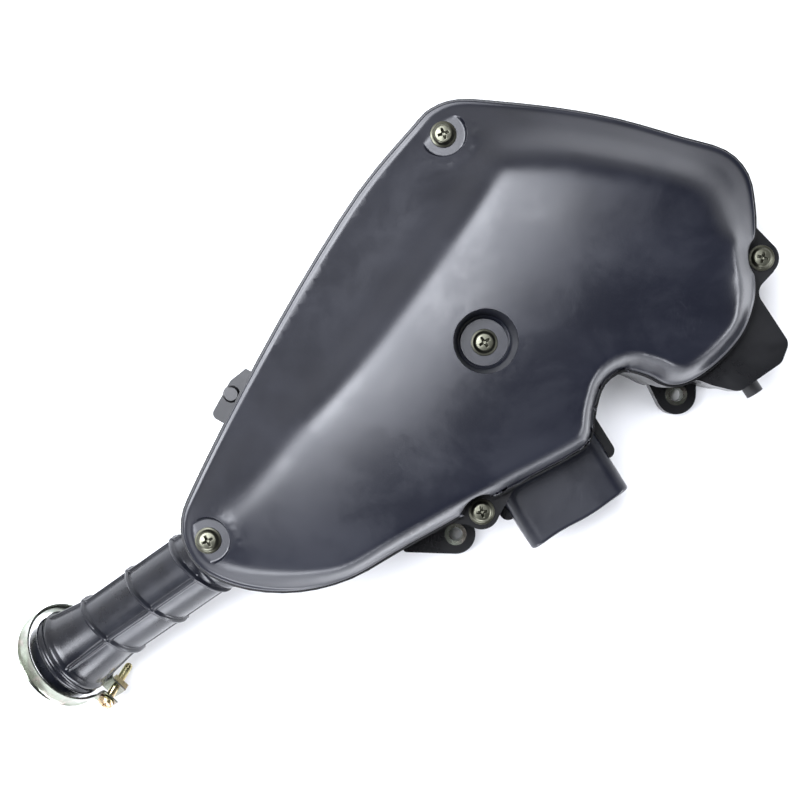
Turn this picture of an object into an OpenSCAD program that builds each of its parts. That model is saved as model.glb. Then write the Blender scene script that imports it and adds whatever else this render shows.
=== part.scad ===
// Air filter housing of a small scooter engine, lying on its back with the cover up.
// The origin is the axis of the front mounting lug, on the plane that both lugs bolt down on.

/* [Cover] */
// Height of the joint face between the cover and the middle shell
seam_z = 76; // [72:1:84]
// Thickness of the cover's flange
flange_t = 3; // [2.4:0.1:4]
// Wall thickness of the cover
cover_wall = 2.4; // [2:0.1:3]
// Rise of the sloping skirt around the dome
skirt_rise = 18; // [14:1:20]
// Steepness of the step from the skirt up to the dome
step_slope = 3; // [2:0.1:4]
// Height of the dome's crown
crown_z = 106; // [100:1:110]
// Radius of the recess around a corner screw
corner_well_r = 10.5; // [9:0.5:12]
// Radius of the recess around the centre screw
centre_well_r = 11; // [10:0.5:13]

/* [Shells] */
// Height of the joint face between the middle and the rear shell
split_z = 54; // [50:1:58]
// Wall thickness of both shells
shell_wall = 2.6; // [2.2:0.1:3.2]
// How far the middle shell's rim stands out past the cover
rim_out = 1.2; // [0.8:0.1:2]
// Radius of a screw ear
ear_r = 8.2; // [8:0.1:9]

/* [Mounting] */
// Outer radius of a mounting lug
lug_r = 9.8; // [8.5:0.1:12]
// Thickness of a mounting lug
lug_t = 10; // [8:1:14]
// Bolt hole radius of a lug sleeve
bolt_hole_r = 3.4; // [3.2:0.1:4.3]

/* [Outlet] */
// Downward tilt of the outlet sleeve, in degrees
sleeve_tilt = 16.2; // [12:0.1:18]
// Bore radius of the sleeve's carburettor end
carb_r = 18; // [17:0.5:19]
// Rubber wall thickness of the sleeve
rubber_t = 2.4; // [2:0.1:3]
// Angle of the sleeve's bearing, in degrees from +X
sleeve_bearing = 215; // [210:1:220]

/* [Snorkel] */
// Width of the intake snorkel
snorkel_w = 54; // [44:1:60]
// Height of the intake snorkel
snorkel_h = 27; // [22:1:30]

/* [Hidden] */
$fn = 48;

plastic = "#23252b";
rubber = "#1b1c21";
zinc = "#b9bcb4";
brass = "#b08d3c";
foam = "#7b2a22";

// Cover outline: x, y and the width of the skirt there, once round clockwise.
OUTLINE = [
    [-131, 120, 38], [-122, 129, 34], [-110, 133, 29], [-91, 132, 25], [-64, 129, 21],
    [-37, 124, 20], [-9, 116, 19], [11, 110, 22], [21, 99.5, 22], [24, 85, 19],
    [24.5, 72, 14], [24.5, 67, 13], [24.5, 62.5, 12.5], [24.5, 58, 12], [24.5, 53, 11.5],
    [24, 42, 10.5], [19, 28, 7.5], [8, 15, 7], [-5, 6, 6],
    [-15, 4.5, 7], [-25, 9, 5], [-35, 11, 3.2], [-44, 5, 3.2], [-48, -6, 3.2],
    [-50, -19, 3.5], [-56, -26, 3.2], [-82, -40, 3.2], [-91, -45, 3.2], [-97, -48.3, 3.6],
    [-103, -51.7, 4], [-109, -55, 4], [-136, -70, 4],
    [-159, -83, 5.5], [-182, -89, 11], [-205, -88, 15], [-224, -81, 15], [-233, -70, 15],
    [-235, -57, 18], [-229, -41, 24], [-209, -1, 28], [-182, 48, 38], [-155, 91, 42]];
OUTLINE_STEPS = 3;

// Screw places.
COVER_CORNERS = [[-117, 117], [-223, -66]];
COVER_CENTRE = [-99, 23];
EARS = [[29.5, 62.5], [-99, -54]];
REAR_SCREWS = [[-122, 82], [-2, 42], [-72, 4]];
LUGS = [[0, 0], [-109, -69]];

ear_notch_r = 9.2;
flange_w = 3;
wall_inset = 1.8;
wall_drop = 1.2;
corner_seat_z = seam_z + 6;
centre_seat_z = seam_z + 14.5;
well_wall = 2;
corner_flare = 0.05;
centre_flare = 0.22;
seat_t = 3;
screw_r = 2.5;
cover_screw_len = 14;
ear_screw_len = 22;
rear_screw_len = 8;
screw_hole_r = 2.9;
head_r = 6;
insert_r = 3.6;
insert_len = 10;
boss_r = 6;
ear_top_z = seam_z - 8;
floor_t = 3;
rim_t = 4;
mid_floor_z = split_z + floor_t;
seal_w = 1.6;
seal_t = 1.6;
fit_gap = 0.15;

// Dome: a broad barrel that lies along the ridge and falls away towards the tip.
RIDGE_POINT = [-136.5, 47];
ridge_bearing = 48;
barrel_crest = 38;
barrel_r = 320;
tip_fall_start = 15;
tip_fall_r = 420;
far_fall_start = 70;
far_fall_r = 500;
round_step = 2.2;
round_top = 2.6;

// Tip of the housing, where the outlet leaves.
TIP_SPLIT = [-176, -44];
tip_bearing = 215;
tip_inset = 11;
plenum_z = 27;
PARTITION = [-143, -14];
partition_t = 2.5;

// Outlet sleeve: its frame has +Z along the bore, +X down and +Y sideways, from near its root.
SLEEVE_START = [-228, -78, 52];
sleeve_back = 8.5;
sleeve_len = 94.5;
rib_start = 2.4;
rib_pitch = 27.8;
rib_lean = 13.5;
flare_at = 60;
rib_w = 2.4;
long_rib_w = 1.8;
rib_h = 1.8;
body_r = 16.3;
spigot_r = 14.9;
spigot_len = 12;
spigot_back = 17;
spigot_wall = 2.3;
collar_at = 82;
collar_r = carb_r + 3.3;
seat_at = 88;
seat_r = carb_r + 1.8;
split_at = 76;
rib_turn = -15;

// Hose clamp, in the sleeve's frame. It hangs loose, leaning on the sleeve's collar.
clamp_at = 88;
clamp_w = 9;
clamp_r = 23.9;
clamp_t = 0.8;
clamp_shift = 0.8;
clamp_lean = 19;
clamp_turn = 74;
clamp_gap = 8;
clamp_ear = 9;
clamp_ear_t = 1.2;
clamp_bolt_r = 2;
clamp_bolt_out = 5.5;
clamp_bolt_len = 27;
nut_t = 3;
nut_w = 8;

// Intake snorkel: its frame has +X along the duct towards the mouth.
SNORKEL_MOUTH = [-50.4, -59.5];
snorkel_bearing = -58;
snorkel_top_z = 48;
snorkel_len = 48;
snorkel_wall = 2.4;
snorkel_edge_r = 7;
snorkel_stop = 2;
mouth_lip = 7;
mouth_slope = 35;
// Collar of the rear shell around the snorkel, back from the mouth.
collar_back = 17.5;
collar_side = 4.5;
collar_drop = 7;
collar_corner_r = 4;

// Lobe beside the lower ear, and its drain.
LOBE = [[0, 40], [24, 50], [29, 44], [42.4, 23.6], [39, 14.5], [19.5, 1], [7, 4], [-6, 9]];
lobe_round = 5;
neck_round = 6;
DRAIN = [28.5, 8, 36];
drain_bearing = -57;
drain_r = 3.4;
drain_out = 7;
drain_cap_r = 4.3;
EAR_WEBS = [[[20, 84], [35, 68.5], [35, 56], [20, 40]],
            [[-122, -58], [-105, -60], [-92, -58], [-80, -36]]];

// Cable bracket on the left wall.
BRACKET = [-214, 0];
bracket_bearing = 61;
bracket_len = 27;
bracket_out = 3.5;
bracket_z = seam_z - rim_t - 8;
bracket_t = 3.5;
bracket_web = 3;
clip_hole_r = 2;
CLIP = [bracket_len / 2, bracket_out - 3.5, 0];

// ---------- Outline functions ----------

function curve_point(a, b, c, d, t) =
    0.5 * (2 * b + (c - a) * t + (2 * a - 5 * b + 4 * c - d) * t * t
           + (3 * b - a - 3 * c + d) * t * t * t);

function smooth_loop(points, steps) = let (n = len(points)) [
    for (i = [0 : n - 1], k = [0 : steps - 1])
        curve_point(points[(i + n - 1) % n], points[i], points[(i + 1) % n],
                    points[(i + 2) % n], k / steps)];

function flat(p) = [p.x, p.y];

// Pushes a point of the outline out of the round notch over an ear's screw.
function notched(p, ears, i = 0) =
    i == len(ears) ? p :
    let (away = flat(p) - ears[i], far = norm(away), soft = pow(pow(far, 8) + pow(ear_notch_r, 8), 1 / 8),
         moved = ears[i] + away * soft / max(far, 0.01))
    notched([moved.x, moved.y, p.z], ears, i + 1);

SMOOTH_EDGE = smooth_loop(OUTLINE, OUTLINE_STEPS);
EDGE = [for (p = SMOOTH_EDGE) notched(p, EARS)];
EDGE_XY = [for (p = EDGE) flat(p)];

function heading(bearing) = [cos(bearing), sin(bearing)];

// ---------- Cover surface ----------

function soft_ramp(x, k) = x > 12 * k ? x : x < -12 * k ? 0 : k * ln(1 + exp(x / k));
function soft_min(a, b, k) = abs(a - b) > 12 * k ? min(a, b) : -k * ln(exp(-a / k) + exp(-b / k));

function lip_width(skirt) = 0.8 + 0.05 * skirt;

// Height above the flange at a distance from the edge, where the skirt has a given width.
function wall_rise(far, skirt) =
    let (lip = lip_width(skirt), slope = skirt_rise / (skirt - lip))
    slope * soft_ramp(far - lip, 0.35) + (step_slope - slope) * soft_ramp(far - skirt, round_step);

// Distance to one stretch of the edge, with the skirt's width at the nearest place.
function edge_rise(p, a, b, inset) =
    let (along = flat(b) - flat(a), t = max(0, min(1, ((p - flat(a)) * along) / (along * along))))
    wall_rise(norm(p - flat(a) - along * t) - inset, a.z + (b.z - a.z) * t);

function lowest_rise(p, inset) = let (n = len(SMOOTH_EDGE))
    min([for (i = [0 : n - 1]) edge_rise(p, SMOOTH_EDGE[i], SMOOTH_EDGE[(i + 1) % n], inset)]);

function dome_rise(p) =
    let (along = (p - RIDGE_POINT) * heading(ridge_bearing),
         across = (p - RIDGE_POINT) * heading(ridge_bearing - 90),
         tip = max(0, -along - tip_fall_start), far = max(0, along - far_fall_start))
    crown_z - seam_z - flange_t - pow(across - barrel_crest, 2) / (2 * barrel_r)
    - tip * tip / (2 * tip_fall_r) - far * far / (2 * far_fall_r);

function cover_top(p) = seam_z + flange_t + soft_min(lowest_rise(p, 0), dome_rise(p), round_top);

// The inner face stands in from the walls and down from the dome.
function cover_underside(p) =
    seam_z + flange_t + soft_min(lowest_rise(p, wall_inset) - wall_drop, dome_rise(p) - cover_wall, round_top);

// ---------- Cover mesh: rings from the edge in to one hub, outside and inside ----------

HUB = [-70, 50];
HUB_STEPS = [0.25, 0.5, 0.75];

function inward(i) =
    let (n = len(EDGE_XY), along = EDGE_XY[(i + 1) % n] - EDGE_XY[(i + n - 1) % n])
    [along.y, -along.x] / norm(along);

// Points in from edge point i towards the hub, at given distances square to the edge.
function spoke(i, depths) =
    let (c = EDGE_XY[i], to_hub = HUB - c, ray = to_hub / norm(to_hub), lean = max(0.45, ray * inward(i)),
         near = [for (d = depths) c + ray * d / lean], last = near[len(near) - 1])
    concat(near, [for (f = HUB_STEPS) last + (HUB - last) * f]);

function outer_depths(skirt) = let (lip = lip_width(skirt))
    [0, lip, lip + (skirt - lip) * 0.5, skirt - 0.5, skirt + 3.5, skirt + 8, skirt + 13];

function inner_depths(skirt) = let (lip = lip_width(skirt) + wall_inset, end = skirt + wall_inset)
    [flange_w, max(flange_w + 0.2, lip), (lip + end) / 2, end - 0.5, end + 3.5, end + 8, end + 13];

function face_ring(a, b, n, flip) = [for (i = [0 : n - 1]) let (j = (i + 1) % n)
    each (flip ? [[a + i, b + j, a + j], [a + i, b + i, b + j]]
               : [[a + i, a + j, b + j], [a + i, b + j, b + i]])];

function fan(a, tip, n, flip) = [for (i = [0 : n - 1]) let (j = (i + 1) % n)
    flip ? [a + i, tip, a + j] : [a + i, a + j, tip]];

// Closed solid under the cover's outer face, or the hollow inside it when the inner face is asked for.
module cover_body(inside) {
    n = len(EDGE);
    spokes = [for (i = [0 : n - 1]) spoke(i, inside ? inner_depths(EDGE[i].z) : outer_depths(EDGE[i].z))];
    rings = len(spokes[0]);
    base_z = inside ? seam_z - 1 : seam_z;
    surface = [for (k = [0 : rings - 1], i = [0 : n - 1])
        let (p = spokes[i][k]) [p.x, p.y, inside ? cover_underside(p) : cover_top(p)]];
    points = concat([for (s = spokes) [s[0].x, s[0].y, base_z]], surface,
                    [[HUB.x, HUB.y, inside ? cover_underside(HUB) : cover_top(HUB)]]);
    faces = concat([[for (i = [0 : n - 1]) n - 1 - i]],
                   [for (k = [0 : rings - 1]) each face_ring(k * n, (k + 1) * n, n, false)],
                   fan(rings * n, (rings + 1) * n, n, false));
    polyhedron(points = points, faces = faces);
}

// ---------- Shared 2D shapes ----------

module cover_2d(grow = 0) {
    offset(delta = grow) polygon(EDGE_XY);
}

module half_plane(point, bearing) {
    translate(point) rotate(bearing) translate([0, -400]) square([800, 800]);
}

module lobe_2d() {
    offset(r = lobe_round, $fn = 32) offset(delta = -lobe_round) polygon(LOBE);
}

// Middle shell's plan below the rim: the cover's outline with both ears and the lobe blended in.
module shell_2d(grow = 0) {
    offset(delta = grow) offset(r = -neck_round, $fn = 32) offset(r = neck_round, $fn = 32) union() {
        cover_2d(rim_out);
        lobe_2d();
        for (e = EARS) translate(e) circle(r = ear_r, $fn = 32);
        for (w = EAR_WEBS) polygon(w);
    }
}

module at_each(places, z = 0) {
    for (p = places) translate([p.x, p.y, z]) children();
}

// Turns a shape that points along +Z so that it points along a level bearing, tilted down.
module aim(bearing, tilt = 0) {
    rotate([0, 90 + tilt, bearing]) children();
}

module in_sleeve_frame() {
    translate(SLEEVE_START) aim(sleeve_bearing, sleeve_tilt) children();
}

// ---------- Fasteners ----------

// Pan head screw with a washer face and a cross recess, its seat at z = 0 and its shank down.
module pan_screw(length, r = screw_r, head = head_r) {
    head_h = head * 0.55;
    difference() {
        rotate_extrude() polygon([[0, -length], [r * 0.7, -length], [r, -length + r], [r, 0], [head, 0],
                                  [head, 0.9], [head * 0.82, 1.4], [head * 0.72, head_h * 0.75],
                                  [head * 0.45, head_h], [0, head_h]]);
        for (turn = [0, 90]) rotate(turn + 20) translate([-head * 0.42, -0.55, head_h * 0.35])
            cube([head * 0.84, 1.1, head_h]);
    }
}

module threaded_insert() {
    difference() {
        union() {
            cylinder(r = insert_r, h = insert_len);
            translate([0, 0, insert_len - 1]) cylinder(r = insert_r + 0.8, h = 1);
        }
        translate([0, 0, -1]) cylinder(r = screw_r + 0.15, h = insert_len + 2);
    }
}

// Pocket that takes an insert whose top is flush with z = 0.
module insert_pocket() {
    translate([0, 0, -insert_len]) cylinder(r = insert_r, h = insert_len + 1);
    translate([0, 0, -1]) cylinder(r = insert_r + 0.8, h = 2);
    translate([0, 0, -insert_len - 2]) cylinder(r = screw_r + 0.4, h = 4);
}

// ---------- Cover ----------

// Recess around a screw: its walls open out by a flare for each millimetre of height.
module well(place, from_z, r, flare) {
    translate([place.x, place.y, from_z]) cylinder(r1 = r, r2 = r + 60 * flare, h = 60);
}

module front_cover() color(plastic) difference() {
    cover_body(false);
    difference() {
        cover_body(true);
        for (c = COVER_CORNERS) well(c, corner_boss_z, corner_well_r + well_wall, corner_flare);
        well(COVER_CENTRE, centre_seat_z - seat_t, centre_well_r + well_wall, centre_flare);
    }
    for (c = COVER_CORNERS) well(c, corner_seat_z, corner_well_r, corner_flare);
    well(COVER_CENTRE, centre_seat_z, centre_well_r, centre_flare);
    at_each(concat(COVER_CORNERS, [COVER_CENTRE]), seam_z - 5) cylinder(r = screw_hole_r, h = 60);
    // Sockets over the corner bosses
    at_each(COVER_CORNERS, seam_z - 5) cylinder(r = boss_r + fit_gap, h = corner_boss_z - seam_z + 5);
}

module cover_seal() color(rubber) translate([0, 0, seam_z - seal_t]) linear_extrude(seal_t) difference() {
    cover_2d(-0.7);
    cover_2d(-0.7 - seal_w);
}

module centre_seal() color(rubber)
    translate([COVER_CENTRE.x, COVER_CENTRE.y, centre_seat_z - seat_t - 1.5]) difference() {
        cylinder(r = boss_r, h = 1.5);
        translate([0, 0, -1]) cylinder(r = screw_hole_r + 0.3, h = 4);
    }

module cover_screws() color(zinc) {
    at_each(COVER_CORNERS, corner_seat_z) pan_screw(cover_screw_len);
    at_each([COVER_CENTRE], centre_seat_z) pan_screw(cover_screw_len);
}

centre_boss_z = centre_seat_z - seat_t - 1.5;
corner_boss_z = corner_seat_z - seat_t - 1.2;

module cover_inserts() color(brass) {
    at_each(COVER_CORNERS, corner_boss_z - insert_len) threaded_insert();
    at_each([COVER_CENTRE], centre_boss_z - insert_len) threaded_insert();
}

// ---------- Filter ----------

frame_z = mid_floor_z + 4;
frame_t = 3;
foam_t = 11;
filter_inset = 6.5;
grid_t = 1.4;

module filter_2d(shrink = 0) {
    difference() {
        intersection() {
            cover_2d(-filter_inset - shrink);
            half_plane(PARTITION + heading(tip_bearing + 180) * (partition_t / 2 + 1.5 + shrink), tip_bearing + 180);
        }
        translate(COVER_CENTRE) circle(r = boss_r + 1.5 + shrink);
        translate(COVER_CORNERS[0]) circle(r = boss_r + 1.5 + shrink);
    }
}

module grid_2d(pitch, bar) {
    for (i = [-12 : 12]) translate(RIDGE_POINT + heading(ridge_bearing) * 40) rotate(ridge_bearing) {
        translate([i * pitch, 0]) square([bar, 400], center = true);
        translate([0, i * pitch]) square([400, bar], center = true);
    }
}

module filter_frame() color(plastic) translate([0, 0, frame_z]) {
    linear_extrude(frame_t) difference() {
        filter_2d();
        filter_2d(4);
    }
    linear_extrude(frame_t - 1) intersection() {
        filter_2d(1);
        grid_2d(18, 2);
    }
}

module filter_foam() color(foam) translate([0, 0, frame_z + frame_t])
    linear_extrude(foam_t) filter_2d(0.5);

module filter_grid() color(plastic) translate([0, 0, frame_z + frame_t + foam_t]) linear_extrude(grid_t) {
    difference() {
        filter_2d(1.5);
        filter_2d(5);
    }
    intersection() {
        filter_2d(2);
        grid_2d(24, 1.8);
    }
}

// ---------- Middle shell ----------

window_2d_low = [-88, 30];
window_2d_high = [-18, 96];

module window_2d() {
    offset(r = 6) offset(delta = -6) translate(window_2d_low) square(window_2d_high - window_2d_low);
}

module tip_2d(shrink) {
    intersection() {
        cover_2d(-tip_inset - shrink);
        half_plane(TIP_SPLIT - heading(tip_bearing) * shrink, tip_bearing);
    }
}

module spigot(r, from, to) {
    in_sleeve_frame() translate([0, 0, from]) cylinder(r = r, h = to - from);
}

module middle_bosses() {
    at_each([COVER_CENTRE], mid_floor_z - 1) cylinder(r = boss_r, h = centre_boss_z - mid_floor_z + 1);
    at_each([COVER_CORNERS[0]], mid_floor_z - 1) cylinder(r = boss_r, h = corner_boss_z - mid_floor_z + 1);
    at_each([COVER_CORNERS[1]], corner_boss_z - insert_len - 3) cylinder(r = boss_r, h = insert_len + 3);
    at_each(REAR_SCREWS, mid_floor_z - 1) cylinder(r = 5, h = frame_z - mid_floor_z + 1);
}

module partition_wall() {
    translate([0, 0, mid_floor_z - 1]) linear_extrude(frame_z + frame_t - mid_floor_z + 8) intersection() {
        cover_2d(-shell_wall);
        translate(PARTITION) rotate(tip_bearing) square([partition_t, 400], center = true);
    }
}

module middle_tray() {
    difference() {
        union() {
            // Tray, lobe and ears
            difference() {
                translate([0, 0, split_z]) linear_extrude(ear_top_z - split_z) difference() {
                    shell_2d();
                    tip_cutback_2d();
                }
                translate([0, 0, mid_floor_z]) linear_extrude(ear_top_z - shell_wall - mid_floor_z) difference() {
                    shell_2d(-shell_wall);
                    for (e = EARS) translate(e) circle(r = ear_r - 1.5);
                    tip_cutback_2d(shell_wall);
                }
            }
            // Rim that the cover sits on
            translate([0, 0, ear_top_z - 1]) linear_extrude(seam_z - ear_top_z + 1) difference() {
                cover_2d(rim_out);
                tip_cutback_2d();
            }
            translate([0, 0, seam_z - rim_t]) linear_extrude(rim_t) cover_2d(rim_out);
            // Outlet plenum
            translate([0, 0, plenum_z]) linear_extrude(seam_z - plenum_z) tip_2d(0);
            spigot(spigot_r, -spigot_back, spigot_len);
            cable_bracket();
        }
        // Inside of the tray, and of the plenum
        translate([0, 0, mid_floor_z]) linear_extrude(60) difference() {
            cover_2d(-shell_wall - 0.6);
            tip_cutback_2d(shell_wall);
        }
        translate([0, 0, plenum_z + shell_wall]) linear_extrude(60) tip_2d(shell_wall);
        spigot(spigot_r - spigot_wall, -spigot_back - 6, spigot_len + 5);
        translate([0, 0, split_z - 1]) linear_extrude(floor_t + 2) window_2d();
        translate([0, 0, seam_z - seal_t]) linear_extrude(seal_t + 1) difference() {
            cover_2d(-0.7);
            cover_2d(-0.7 - seal_w);
        }
        at_each(EARS, split_z - 1) cylinder(r = screw_hole_r, h = 40);
        bracket_frame() translate(CLIP) cylinder(r = clip_hole_r + 0.1, h = 12, center = true);
    }
}

module middle_shell() color(plastic) difference() {
    union() {
        middle_tray();
        middle_bosses();
        partition_wall();
    }
    at_each([COVER_CENTRE], centre_boss_z) insert_pocket();
    at_each(COVER_CORNERS, corner_boss_z) insert_pocket();
    at_each(REAR_SCREWS, mid_floor_z - 2) cylinder(r = screw_r, h = 6);
    // Room for the sleeve's root round the spigot
    difference() {
        spigot(spigot_r + rubber_t + 0.8 + fit_gap, -sleeve_back - fit_gap, spigot_len + 5);
        spigot(spigot_r, -sleeve_back - 1, spigot_len + 6);
    }
}

// Area at the tip where the walls stand back under the rim, to leave room for the sleeve's end.
module tip_cutback_2d(shrink = 0) {
    difference() {
        half_plane(TIP_SPLIT - heading(tip_bearing) * shrink, tip_bearing);
        tip_2d(0);
    }
}

// ---------- Rear shell ----------

rear_inset = 1.5;
rear_rim_t = 5;
pillar_r = 7.5;
pillar_end_t = 3;

module rear_2d(shrink = 0) {
    difference() {
        shell_2d(-shrink);
        half_plane(TIP_SPLIT + heading(tip_bearing) * (-4 - shrink), tip_bearing);
    }
}

module lug_arm(i) {
    if (i == 0) hull() {
        cylinder(r = lug_r, h = lug_t);
        translate([-18, 14, 0]) cube([28, 4, lug_t]);
    }
    if (i == 1) hull() {
        translate([LUGS[1].x, LUGS[1].y, 0]) cylinder(r = lug_r, h = lug_t);
        translate([-133, -76, 0]) cylinder(r = 2, h = lug_t);
        translate([-112, -56, 0]) cube([8, 8, lug_t]);
    }
}

module snorkel_frame() {
    translate([SNORKEL_MOUTH.x, SNORKEL_MOUTH.y, snorkel_top_z - snorkel_h]) rotate(snorkel_bearing) children();
}

module snorkel_section(shrink) {
    radius = snorkel_edge_r - shrink;
    translate([shrink, -snorkel_w / 2 + shrink]) hull() for (x = [radius, snorkel_h - 2 * shrink - radius],
        y = [radius, snorkel_w - 2 * shrink - radius]) translate([x, y]) circle(r = radius, $fn = 32);
}

module snorkel_bar(shrink, from, to) {
    snorkel_frame() translate([from, 0, snorkel_h]) rotate([0, 90, 0]) linear_extrude(to - from)
        snorkel_section(shrink);
}

module snorkel_collar() {
    half = snorkel_w / 2 + collar_side;
    snorkel_frame() translate([-snorkel_len + 6, -half, -collar_side])
        linear_extrude(snorkel_h - collar_drop + collar_side)
        offset(r = collar_corner_r) offset(delta = -collar_corner_r)
        square([snorkel_len - 6 - collar_back, 2 * half]);
}

module rear_shell() color(plastic) {
    difference() {
        union() {
            difference() {
                linear_extrude(split_z) rear_2d(rear_inset);
                translate([0, 0, shell_wall]) linear_extrude(split_z) difference() {
                    rear_2d(rear_inset + shell_wall);
                    for (e = EARS) translate(e) circle(r = ear_r - 1);
                }
            }
            translate([0, 0, split_z - rear_rim_t]) linear_extrude(rear_rim_t) difference() {
                rear_2d(0);
                rear_2d(rear_inset + shell_wall);
            }
            at_each(REAR_SCREWS) cylinder(r = pillar_r, h = split_z);
            for (i = [0, 1]) lug_arm(i);
            snorkel_collar();
            translate(DRAIN) aim(drain_bearing) translate([0, 0, -8]) cylinder(r = drain_r, h = 8 + drain_out);
        }
        at_each(REAR_SCREWS, -1) cylinder(r = pillar_r - 1.5, h = split_z - pillar_end_t + 1);
        at_each(REAR_SCREWS, -1) cylinder(r = screw_hole_r, h = 80);
        at_each(EARS, split_z) insert_pocket();
        at_each(LUGS, -1) cylinder(r = bolt_hole_r + 2, h = lug_t + 2);
        translate(DRAIN) aim(drain_bearing) translate([0, 0, -12]) cylinder(r = drain_r - 1.4, h = 40);
        snorkel_bar(-fit_gap, -snorkel_len - 6, 10);
        snorkel_bar(-snorkel_stop - fit_gap, -snorkel_len - 6, -snorkel_len + 4 + fit_gap);
        translate([0, 0, split_z - seal_t]) linear_extrude(seal_t + 1) shell_seal_2d();
    }
}

module bracket_frame() {
    translate([BRACKET.x, BRACKET.y, bracket_z]) rotate(bracket_bearing) translate([-bracket_len / 2, 0, 0])
        children();
}

module cable_bracket() {
    bracket_frame() {
        hull() {
            translate([0, -13, 0]) cube([bracket_len, 13, bracket_t]);
            for (x = [3, bracket_len - 9]) translate([x, bracket_out - 3, 0]) cylinder(r = 3, h = bracket_t);
        }
        translate([0, -13, 0]) cube([bracket_len, bracket_web, seam_z - rim_t - bracket_z + 1]);
    }
}

module shell_seal_2d() {
    difference() {
        rear_2d(1);
        rear_2d(1 + seal_w);
    }
}

module shell_seal() color(rubber) translate([0, 0, split_z - seal_t]) linear_extrude(seal_t) shell_seal_2d();

module ear_screws() color(zinc) at_each(EARS, ear_top_z) pan_screw(ear_screw_len);

module ear_inserts() color(brass) at_each(EARS, split_z - insert_len) threaded_insert();

module rear_screws() color(zinc)
    at_each(REAR_SCREWS, split_z - pillar_end_t) mirror([0, 0, 1]) pan_screw(rear_screw_len, screw_r, 5.2);

module lug_sleeves() color(zinc) at_each(LUGS) difference() {
    cylinder(r = bolt_hole_r + 2, h = lug_t + 0.6);
    translate([0, 0, -1]) cylinder(r = bolt_hole_r, h = lug_t + 3);
}

// ---------- Snorkel, drain and clip ----------

module intake_snorkel() color(plastic) difference() {
    union() {
        snorkel_bar(0, -snorkel_len, 0);
        snorkel_bar(-snorkel_stop, -snorkel_len + 2, -snorkel_len + 4);
    }
    snorkel_bar(snorkel_wall, -snorkel_len - 5, 5);
    snorkel_frame() translate([0, -snorkel_w, snorkel_h - mouth_lip]) rotate([0, mouth_slope + 90, 0])
        cube([60, 2 * snorkel_w, 60]);
}

module drain_cap() color(rubber) translate(DRAIN) aim(drain_bearing) difference() {
    union() {
        translate([0, 0, drain_out - 6.5]) cylinder(r = drain_cap_r, h = 8.5);
        translate([0, 0, drain_out - 6.5]) cylinder(r = drain_cap_r + 0.9, h = 1.6);
    }
    translate([0, 0, drain_out - 8]) cylinder(r = drain_r + 0.1, h = 8);
}

module cable_clip() color(rubber) bracket_frame() translate(CLIP) {
    translate([0, 0, -3]) cylinder(r = clip_hole_r, h = 3 + bracket_t);
    translate([0, 0, bracket_t]) cylinder(r1 = 4, r2 = 3, h = 2.5);
    translate([0, 0, -4]) cylinder(r1 = 1.2, r2 = clip_hole_r + 0.8, h = 4);
}

// ---------- Outlet sleeve and clamp ----------

flare_r = carb_r + rubber_t - 0.8;
long_rib_h = rib_h * 0.7;

// Half section of the whole sleeve from its axis out, of its bore, and of a long rib.
SLEEVE_SKIN = [
    [0, -sleeve_back], [spigot_r + rubber_t + 0.8, -sleeve_back],
    [spigot_r + rubber_t + 0.8, -sleeve_back + 4], [body_r, -sleeve_back + 6],
    [body_r, flare_at], [flare_r, collar_at - 2], [collar_r, collar_at],
    [collar_r, collar_at + 1.5], [collar_r - 0.8, collar_at + 2.5], [collar_r - 0.8, seat_at - 2],
    [collar_r, seat_at - 1.5], [collar_r, seat_at], [seat_r, seat_at + 0.6], [seat_r, sleeve_len - 0.6],
    [seat_r - 0.6, sleeve_len], [0, sleeve_len]];
SLEEVE_BORE = [
    [0, -sleeve_back - 1], [spigot_r + 0.05, -sleeve_back - 1], [spigot_r + 0.05, spigot_len + 1],
    [body_r - rubber_t, spigot_len + 3], [body_r - rubber_t, flare_at + 2], [carb_r, collar_at],
    [carb_r, sleeve_len + 1], [0, sleeve_len + 1]];
LONG_RIB = [
    [body_r - 1, 0], [body_r + long_rib_h, 0], [body_r + long_rib_h, flare_at],
    [collar_r - 0.3, collar_at + 0.6], [flare_r - 1, collar_at + 0.6], [body_r - 1, flare_at + 1]];

module sleeve_part(from, to) {
    in_sleeve_frame() intersection() {
        difference() {
            union() {
                rotate_extrude() polygon(SLEEVE_SKIN);
                for (k = [0 : 2]) translate([0, 0, rib_start + k * rib_pitch]) rotate([-rib_lean, 0, 0])
                    translate([0, 0, -rib_w / 2]) cylinder(r = body_r + rib_h, h = rib_w);
                for (k = [0 : 3]) rotate(rib_turn + 90 * k) rotate([90, 0, 0])
                    linear_extrude(long_rib_w, center = true) polygon(LONG_RIB);
            }
            rotate_extrude() polygon(SLEEVE_BORE);
        }
        translate([0, 0, from]) cylinder(r = 40, h = to - from);
    }
}

// The sleeve is one moulding. Its stiff end collar is a node of its own, as the tube behind it flexes.
module outlet_sleeve() color(rubber) sleeve_part(-sleeve_back, split_at - 0.3);

module sleeve_collar() color(rubber) sleeve_part(split_at, sleeve_len);

module in_clamp_frame() {
    in_sleeve_frame() translate([0, -clamp_shift, clamp_at]) rotate([0, clamp_lean, 0]) rotate(clamp_turn)
        children();
}

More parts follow.
